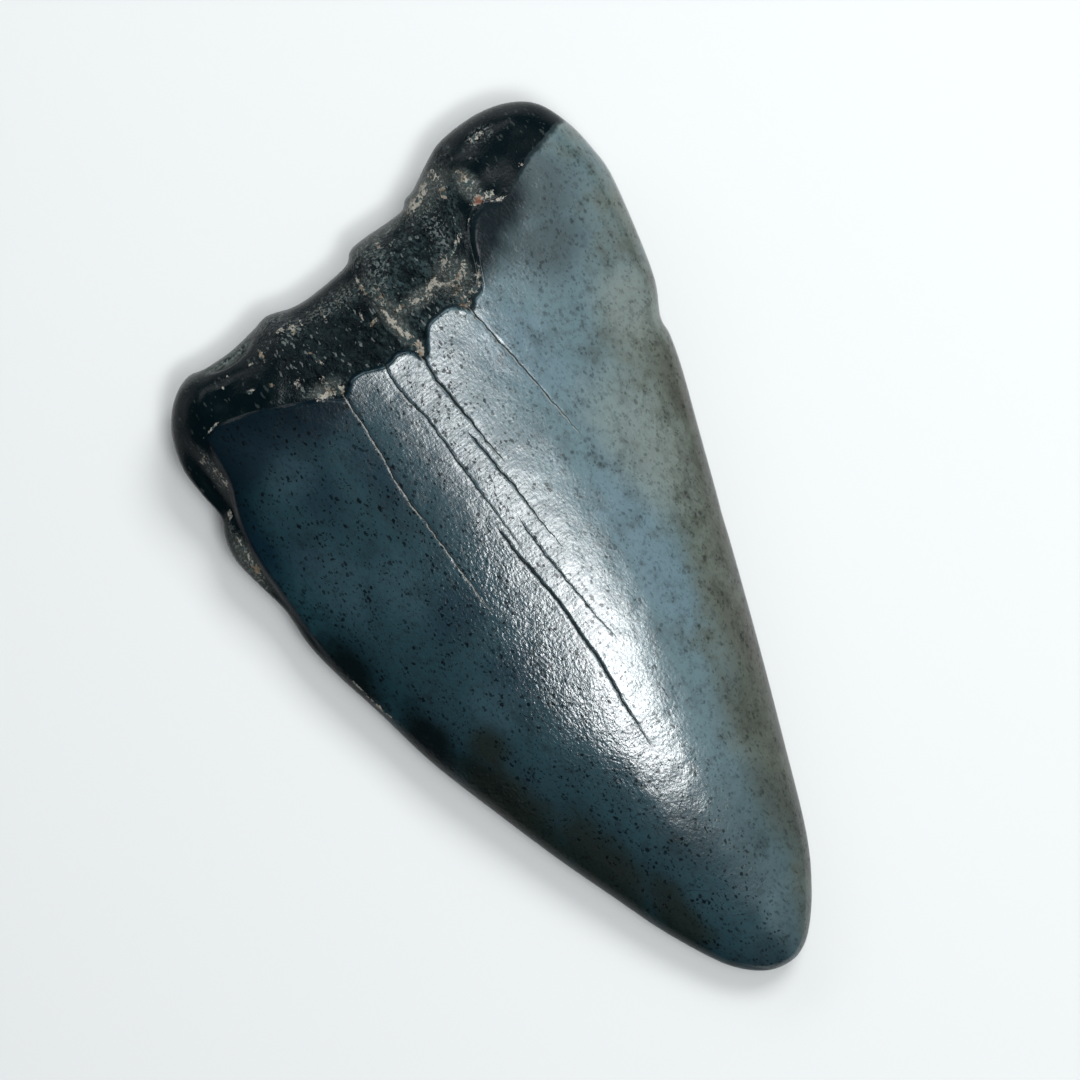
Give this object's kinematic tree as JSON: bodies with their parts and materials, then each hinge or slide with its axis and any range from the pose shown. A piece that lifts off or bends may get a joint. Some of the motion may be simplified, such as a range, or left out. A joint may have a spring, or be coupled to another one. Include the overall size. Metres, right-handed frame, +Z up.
{
  "type": "fossil shark tooth",
  "caption": "Worn triangular fossil shark tooth with a black root, a polished blue-grey crown and long growth cracks, lying on its flatter face.",
  "frame": {"origin": "middle of the tooth's bounding box, on the surface that it lies on", "axes": "+Y from the tip to the root, +X to the right of the tooth seen from above with the root away, +Z up, out of the swollen face"},
  "size_m": [0.0526, 0.0878, 0.0144],
  "materials": {
    "fossil_enamel": "worn, polished fossil enamel over a rough black root"
  },
  "bodies": {
    "root": {"shark_tooth": "fossil_enamel"}
  },
  "joints": []
}
